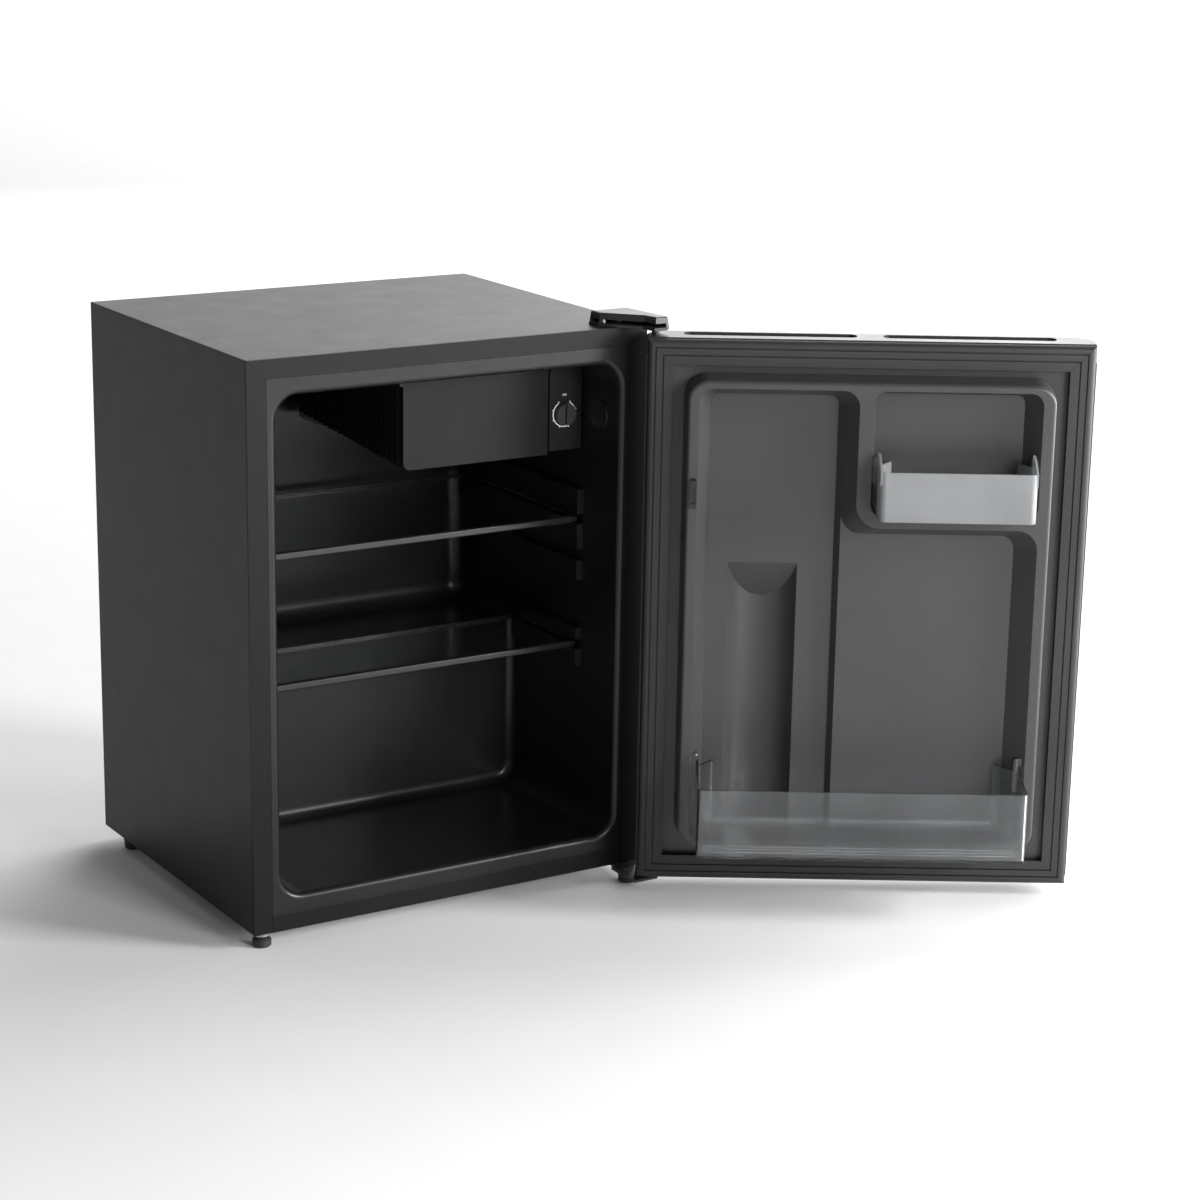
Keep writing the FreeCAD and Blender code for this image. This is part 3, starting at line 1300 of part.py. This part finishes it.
def basket(name, left, right, rear_left, rear_right, low, high, front):
    """Clear plastic tray, open at the top, with a low rear lip, base ribs and two ears."""
    body = new_body(name)
    rear, wide = "panel_raised + basket_gap", "dyke_top + lug_drop"
    w, corner = "basket_wall", "basket_corner"
    plan = outline([(rear_left, rear), (rear_right, rear), (right, wide), (right, front), (left, front),
                    (left, wide)], [0, 0, 0, corner, corner, 0])
    pad(body, "XY", [plan], low, high)
    inner = outline([(f"{rear_left} + {w}", f"{rear} + {w}"), (f"{rear_right} - {w}", f"{rear} + {w}"),
                     (f"{right} - {w}", wide), (f"{right} - {w}", f"{front} - {w}"),
                     (f"{left} + {w}", f"{front} - {w}"), (f"{left} + {w}", wide)],
                    [0, 0, 0, f"{corner} - {w}", f"{corner} - {w}", 0])
    pocket(body, "XY", [inner], f"{low} + {w}", f"{high} + 1")
    gap = box(f"{rear_left} + {w}", f"{rear} - 1", f"{rear_right} - {w}", f"{rear} + {w} + 1")
    pocket(body, "XY", [gap], f"{low} + basket_lip", f"{high} + 1")
    for x0, x1 in ((left, f"{left} + {w}"), (f"{right} - {w}", right)):
        basket_arm(body, x0, x1, wide, high)
    rib_count = 3
    for i in range(rib_count):
        y = f"{front} - {corner} * 2 - {i} * basket_rib_pitch"
        rib = box(f"{left} + {corner}", y, f"{right} - {corner}", f"{y} + basket_rib")
        pad(body, "XY", [rib], f"{low} + {w} - 0.4", f"{low} + {w} + 1")
    return keep(body, name, "door")


def side_clip():
    """Small snap clip on the hinge side of the dyke."""
    body = new_body("side_clip")
    left, right, low, high = "clip_left", "clip_left + clip_width", "clip_low", "clip_high"
    face = "dyke_top"
    pad(body, "XZ", [box(left, low, right, high, 2)], face, f"{face} + 3")
    window = box(f"{left} + 1.6", f"{low} + 5", f"{right} - 1.6", f"{high} - 8", 1.5)
    pocket(body, "XZ", [window], f"{face} + 1.2", f"{face} + 4")
    catch = box(f"{left} + 0.8", f"{high} - 5", f"{right} - 0.8", f"{high} - 1", 1)
    pad(body, "XZ", [catch], f"{face} + 2", f"{face} + 6")
    return keep(body, "side_clip", "door")


# ---- the whole object ----


def build():
    outer_wrapper()
    inner_liner()
    cabinet_foam()
    back_panel()
    bay_sheet()
    base_pan()
    front_sill()
    shelf("upper_shelf", "upper_shelf_top", "upper_shelf_rear")
    shelf("lower_shelf", "lower_shelf_top", "lower_shelf_rear")
    evaporator()
    evaporator_hangers()
    chiller_side_cover()
    chiller_flap()
    flap_lugs()
    thermostat_housing()
    thermostat()
    thermostat_knob()
    wall_plug()
    compressor()
    compressor_grommets()
    relay_cover()
    drip_tray()
    condenser_tube()
    discharge_pipe()
    liquid_line()
    condenser_wires()
    condenser_brackets()
    filter_drier()
    capillary_tube()
    suction_pipe()
    cord_gland()
    gland_bracket()
    front_foot("front_foot_left", "front_foot_x", "front_foot_y", "8")
    front_foot("front_foot_right", "bracket_foot_x", "bracket_foot_y", "door_bottom - 1.2")
    foot_nut()
    rear_feet()
    lower_hinge_bracket()
    upper_hinge_bracket()
    hinge_screws()
    hinge_cover()
    door_skin()
    door_top_cap()
    door_bottom_cap()
    door_foam()
    hinge_bushes()
    door_gasket()
    door_liner()
    for name in ("upper", "lower"):
        basket(f"{name}_basket", f"{name}_basket_left", f"{name}_basket_right", f"{name}_rear_left",
               f"{name}_rear_right", f"{name}_basket_low", f"{name}_basket_high", f"{name}_basket_front")
    side_clip()


def centre_origin():
    """Puts the origin under the middle of the open model's bounding box."""
    doc.recompute()
    whole = FreeCAD.BoundBox()
    for piece in PIECES:
        whole.add(piece.Shape.BoundBox)
    sheet.set(f"B{ROWS['centre_x']}", str(round((whole.XMin + whole.XMax) / 2, 3)))
    sheet.set(f"B{ROWS['centre_y']}", str(round((whole.YMin + whole.YMax) / 2, 3)))
    doc.recompute()


def check_and_write():
    """Refuses a failed object, then writes one STEP file for each sub-part."""
    for item in doc.Objects:
        if "Invalid" in item.State or "Error" in item.State:
            raise RuntimeError(f"{item.Name} failed: {item.State}")
    labels = [piece.Label for piece in PIECES]
    if len(set(labels)) != len(labels):
        raise RuntimeError("two sub-parts share a label")
    for piece in PIECES:
        if piece.Shape.isNull() or not piece.Shape.isValid():
            raise RuntimeError(f"{piece.Label} has no valid shape")
    os.makedirs("parts", exist_ok=True)
    for piece in PIECES:
        piece.Shape.exportStep(f"parts/{piece.Label}.step")
        print(piece.Label, len(piece.Shape.Solids), round(piece.Shape.Volume / 1000, 2), "cm3")


build()
centre_origin()
check_and_write()
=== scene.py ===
import json
import math

import bmesh
import bpy
from mathutils import Matrix, Vector


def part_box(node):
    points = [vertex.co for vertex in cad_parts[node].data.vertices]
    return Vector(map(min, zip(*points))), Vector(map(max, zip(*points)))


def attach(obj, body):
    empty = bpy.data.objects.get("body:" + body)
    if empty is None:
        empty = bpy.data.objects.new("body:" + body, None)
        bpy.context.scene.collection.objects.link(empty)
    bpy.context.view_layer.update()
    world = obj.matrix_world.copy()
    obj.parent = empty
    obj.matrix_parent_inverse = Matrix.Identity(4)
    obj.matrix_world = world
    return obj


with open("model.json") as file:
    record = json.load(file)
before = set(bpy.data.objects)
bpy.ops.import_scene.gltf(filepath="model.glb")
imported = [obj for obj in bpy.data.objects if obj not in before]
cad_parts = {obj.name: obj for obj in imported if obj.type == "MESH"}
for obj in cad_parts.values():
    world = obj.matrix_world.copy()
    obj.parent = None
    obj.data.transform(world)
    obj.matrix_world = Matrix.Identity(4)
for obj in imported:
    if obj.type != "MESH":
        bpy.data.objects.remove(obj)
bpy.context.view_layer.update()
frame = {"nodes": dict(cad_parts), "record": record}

MM = 0.001
SCENE = bpy.context.scene

# ---- places, all worked out from the frame ----

WRAP_LOW, WRAP_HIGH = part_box("outer_wrapper")
CABINET = Vector(((WRAP_LOW.x + WRAP_HIGH.x) / 2, WRAP_LOW.y, WRAP_LOW.z))


def at(x, y, z):
    """A point given in millimetres from the middle of the cabinet's front bottom edge."""
    return CABINET + Vector((x, y, z)) * MM


# ---- materials ----


class Nodes:
    """A short way to write a material's node tree."""

    def __init__(self, name):
        self.material = bpy.data.materials.new(name)
        self.material.use_nodes = True
        self.tree = self.material.node_tree
        self.shader = self.tree.nodes["Principled BSDF"]
        self.coords = self.tree.nodes.new("ShaderNodeTexCoord").outputs["Object"]

    def link(self, source, target):
        self.tree.links.new(source, target)

    def set(self, **values):
        for name, value in values.items():
            self.shader.inputs[name.replace("_", " ")].default_value = value
        return self

    def noise(self, scale, detail):
        """Noise of so many features a metre."""
        node = self.tree.nodes.new("ShaderNodeTexNoise")
        node.inputs["Scale"].default_value = scale
        node.inputs["Detail"].default_value = detail
        self.link(self.coords, node.inputs["Vector"])
        return node.outputs["Fac"]

    def between(self, factor, low, high, start=0.3, end=0.7):
        """A number from low to high as the factor goes from start to end."""
        node = self.tree.nodes.new("ShaderNodeMapRange")
        ends = {"From Min": start, "From Max": end, "To Min": low, "To Max": high}
        for name, value in ends.items():
            node.inputs[name].default_value = value
        self.link(factor, node.inputs["Value"])
        return node.outputs["Result"]

    def colours(self, factor, low, high, start=0.3, end=0.7):
        """A colour from low to high as the factor goes from start to end."""
        node = self.tree.nodes.new("ShaderNodeValToRGB")
        for element, place, colour in zip(node.color_ramp.elements, (start, end), (low, high)):
            element.position = place
            element.color = (*colour, 1)
        self.link(factor, node.inputs["Fac"])
        return node.outputs["Color"]

    def bump(self, height, distance):
        node = self.tree.nodes.new("ShaderNodeBump")
        node.inputs["Distance"].default_value = distance
        node.inputs["Strength"].default_value = 1
        self.link(height, node.inputs["Height"])
        self.link(node.outputs["Normal"], self.shader.inputs["Normal"])


CLOUD = 9
CLOUD_TO_ROUGH = 3.1


def finish(name, colour, rough, spread=0.2, grain=900, depth=0.00002, wear=0.02, **sockets):
    """A moulded or painted finish: cloudy colour, uneven roughness and a fine surface grain."""
    n = Nodes(name).set(**sockets)
    low = tuple(c * (1 - spread) for c in colour)
    high = tuple(c * (1 + spread) for c in colour)
    n.link(n.colours(n.noise(CLOUD, 5), low, high), n.shader.inputs["Base Color"])
    uneven = n.between(n.noise(CLOUD * CLOUD_TO_ROUGH, 4), rough - wear, rough + wear)
    n.link(uneven, n.shader.inputs["Roughness"])
    n.bump(n.noise(grain, 2), depth)
    return n.material


def grey(value):
    return (value, value, value * 1.02)


MATERIALS = {
    "cabinet_paint": finish("cabinet_paint", grey(0.006), 0.42, spread=0.08, grain=1400, depth=0.00003,
                            Specular_IOR_Level=0.18),
    "door_paint": finish("door_paint", grey(0.016), 0.4, grain=1400, depth=0.00003),
    "liner_plastic": finish("liner_plastic", grey(0.009), 0.3, grain=500, depth=0.00001,
                            Specular_IOR_Level=0.35),
    "door_liner_plastic": finish("door_liner_plastic", grey(0.042), 0.38, spread=0.06, grain=700,
                                 depth=0.00001),
    "gasket_rubber": finish("gasket_rubber", grey(0.016), 0.5, grain=600, depth=0.00003),
    "foam": finish("foam", (0.75, 0.66, 0.45), 0.9, grain=300, depth=0.0003),
    "zinc_sheet": finish("zinc_sheet", grey(0.42), 0.38, grain=80, depth=0.00001, Metallic=1),
    "back_paint": finish("back_paint", grey(0.02), 0.55, grain=900),
    "hinge_steel": finish("hinge_steel", grey(0.02), 0.38, grain=900),
    "screw_steel": finish("screw_steel", grey(0.5), 0.3, grain=900, Metallic=1),
    "shelf_glass": finish("shelf_glass", (0.86, 0.93, 0.9), 0.04, wear=0.02, Transmission_Weight=1.0,
                          IOR=1.5),
    "trim_plastic": finish("trim_plastic", grey(0.01), 0.25, grain=700),
    "evaporator_aluminium": finish("evaporator_aluminium", grey(0.5), 0.4, grain=400, Metallic=1),
    "chiller_plastic": finish("chiller_plastic", grey(0.005), 0.4, grain=700,
                              Specular_IOR_Level=0.18),
    "housing_plastic": finish("housing_plastic", grey(0.004), 0.45, grain=900,
                              Specular_IOR_Level=0.25),
    "knob_plastic": finish("knob_plastic", grey(0.02), 0.4, grain=900),
    "thermostat_case": finish("thermostat_case", grey(0.5), 0.4, Metallic=1),
    "cap_plastic": finish("cap_plastic", grey(0.02), 0.4, grain=900),
    "foot_plastic": finish("foot_plastic", grey(0.02), 0.55, grain=900),
    "compressor_paint": finish("compressor_paint", grey(0.012), 0.22, grain=60, depth=0.00005),
    "copper": finish("copper", (0.75, 0.36, 0.2), 0.3, Metallic=1),
    "condenser_paint": finish("condenser_paint", grey(0.015), 0.5, grain=1200),
    "mount_rubber": finish("mount_rubber", grey(0.02), 0.7, grain=900),
    "basket_plastic": finish("basket_plastic", (0.9, 0.93, 0.95), 0.12, wear=0.04,
                             Transmission_Weight=1.0, IOR=1.49),
}

MATERIALS["print_white"] = finish("print_white", (0.8, 0.8, 0.8), 0.6, spread=0.04)
MATERIALS["frosted_plastic"] = finish("frosted_plastic", (0.5, 0.51, 0.52), 0.35, wear=0.05,
                                      Transmission_Weight=0.7, IOR=1.49)

for entry in frame["record"]["subparts"]:
    node = frame["nodes"][entry["node"]]
    node.data.materials.clear()
    frosted = entry["node"] == "upper_basket"
    node.data.materials.append(MATERIALS["frosted_plastic" if frosted else entry["material_slot"]])

# ---- forms: flat shapes made from rings of points ----


class Form:
    """A mesh drawn on a face: u and v lie along the face, and height stands out from it."""

    def __init__(self, place):
        self.mesh = bmesh.new()
        self.place = place

    def ring(self, points, height):
        return [self.mesh.verts.new(self.place(p[0], p[1], height)) for p in points]

    def strip(self, one, other):
        """Faces between two open rings of as many points."""
        for i in range(len(one) - 1):
            self.mesh.faces.new((one[i], one[i + 1], other[i + 1], other[i])).smooth = True

    def make(self, name, material, body):
        """Make the finished object, riding on a body."""
        bmesh.ops.remove_doubles(self.mesh, verts=self.mesh.verts, dist=1e-6)
        bmesh.ops.recalc_face_normals(self.mesh, faces=self.mesh.faces)
        obj = bpy.data.objects.new(name, bpy.data.meshes.new(name))
        self.mesh.to_mesh(obj.data)
        self.mesh.free()
        SCENE.collection.objects.link(obj)
        obj.data.materials.append(MATERIALS[material])
        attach(obj, body)


# ---- pieces ----


def on_panel(u, v, height):
    """A point on the thermostat housing's face; height stands out to the front."""
    return at(u, DIAL_FACE - height, v)


def arc(centre, radius, count, start, span):
    """Points along an arc that starts so far clockwise from the top."""
    return [(centre[0] + radius * math.sin(start + span * i / count),
             centre[1] + radius * math.cos(start + span * i / count)) for i in range(count)]


KNOB_LOW, KNOB_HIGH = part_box("thermostat_knob")
HOUSING_LOW, HOUSING_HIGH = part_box("thermostat_housing")
DIAL = (((KNOB_LOW.x + KNOB_HIGH.x) / 2 - CABINET.x) / MM,
        ((KNOB_LOW.z + KNOB_HIGH.z) / 2 - CABINET.z) / MM)
DIAL_FACE = (HOUSING_LOW.y - CABINET.y) / MM
KNOB_RADIUS = (KNOB_HIGH.x - KNOB_LOW.x) / MM / 2

PRINT_HEIGHT = 0.12
SCALE_START, SCALE_SPAN = 0.5, 5.28
RING_INNER, RING_OUTER, RING_POINTS = 1.4, 2.6, 60
TICKS, TICK_INNER, TICK_OUTER, TICK_HALF = 8, 1.9, 4, 0.5
MARK_GAP, MARK_WIDTH, MARK_HEIGHT = 8, 0.7, 2.2
MARK_PLACES = (-2.2, -0.9, 0.4, 1.7)

# printed scale round the knob: an open ring with ticks
scale = Form(on_panel)
inner, outer = (arc(DIAL, KNOB_RADIUS + reach, RING_POINTS, SCALE_START, SCALE_SPAN)
                for reach in (RING_INNER, RING_OUTER))
scale.strip(scale.ring(inner, PRINT_HEIGHT), scale.ring(outer, PRINT_HEIGHT))
for step in range(TICKS):
    angle = SCALE_START + SCALE_SPAN * step / (TICKS - 1)
    along = Vector((math.sin(angle), math.cos(angle)))
    across = Vector((along.y, -along.x)) * TICK_HALF
    near = Vector(DIAL) + along * (KNOB_RADIUS + TICK_INNER)
    far = Vector(DIAL) + along * (KNOB_RADIUS + TICK_OUTER)
    corners = [near - across, near + across, far + across, far - across]
    scale.mesh.faces.new(scale.ring(corners, PRINT_HEIGHT))
scale.make("dial_scale", "print_white", "cabinet")

# small mark over the scale
mark = Form(on_panel)
mark_low = DIAL[1] + KNOB_RADIUS + MARK_GAP
mark_high = mark_low + MARK_HEIGHT
for place in MARK_PLACES:
    left, right = DIAL[0] + place, DIAL[0] + place + MARK_WIDTH
    corners = [(left, mark_low), (right, mark_low), (right, mark_high), (left, mark_high)]
    mark.mesh.faces.new(mark.ring(corners, PRINT_HEIGHT))
mark.make("dial_mark", "print_white", "cabinet")

# ---- camera ----

CAMERA_PLACE = at(-1444.5, -2585.8, 1135.8)
CAMERA_AZIMUTH, CAMERA_TILT, CAMERA_ROLL = (math.radians(a) for a in (-32.16, -15.15, 1.01))
CAMERA_LENS, CAMERA_SENSOR = 87.53, 36
camera = bpy.data.objects.new("camera", bpy.data.cameras.new("camera"))
camera.data.sensor_width = CAMERA_SENSOR
camera.data.lens = CAMERA_LENS
turn = Matrix.Rotation(CAMERA_AZIMUTH, 4, "Z") @ Matrix.Rotation(math.pi / 2 + CAMERA_TILT, 4, "X")
camera.matrix_world = Matrix.Translation(CAMERA_PLACE) @ turn @ Matrix.Rotation(CAMERA_ROLL, 4, "Z")
SCENE.collection.objects.link(camera)
SCENE.camera = camera
SCENE.view_settings.view_transform = "Standard"

# ---- floor and light ----

FLOOR_REACH = 40
WORLD_STRENGTH = 0.17

bm = bmesh.new()
bmesh.ops.create_grid(bm, x_segments=2, y_segments=2, size=FLOOR_REACH)
floor = bpy.data.objects.new("floor", bpy.data.meshes.new("floor"))
bm.to_mesh(floor.data)
bm.free()
floor.data.materials.append(finish("floor", (0.85, 0.85, 0.85), 0.9, spread=0.01, grain=20))
SCENE.collection.objects.link(floor)

world = bpy.data.worlds.new("world")
SCENE.world = world
world.use_nodes = True
background = world.node_tree.nodes["Background"]
background.inputs["Color"].default_value = (1, 1, 1, 1)
background.inputs["Strength"].default_value = WORLD_STRENGTH


def softbox(name, place, target, width, height, power):
    light = bpy.data.objects.new(name, bpy.data.lights.new(name, "AREA"))
    light.data.shape = "RECTANGLE"
    light.data.size = width
    light.data.size_y = height
    light.data.energy = power
    light.location = place
    light.rotation_euler = (target - place).to_track_quat("-Z", "Y").to_euler()
    SCENE.collection.objects.link(light)


MIDDLE = at(80, 0, 320)
softbox("key", at(2500, -2600, 1300), MIDDLE, 1.0, 1.5, 165)
softbox("right_low", at(3000, -900, 500), MIDDLE, 0.8, 1.2, 60)
softbox("door_wash", at(500, -3100, 1300), at(430, -150, 480), 0.9, 0.9, 60)
softbox("backdrop", at(1800, 5200, 2300), MIDDLE, 6, 2.0, 75)
softbox("floor_wash", at(10500, 8000, 7000), at(3000, 9000, 0), 18, 10, 2600)
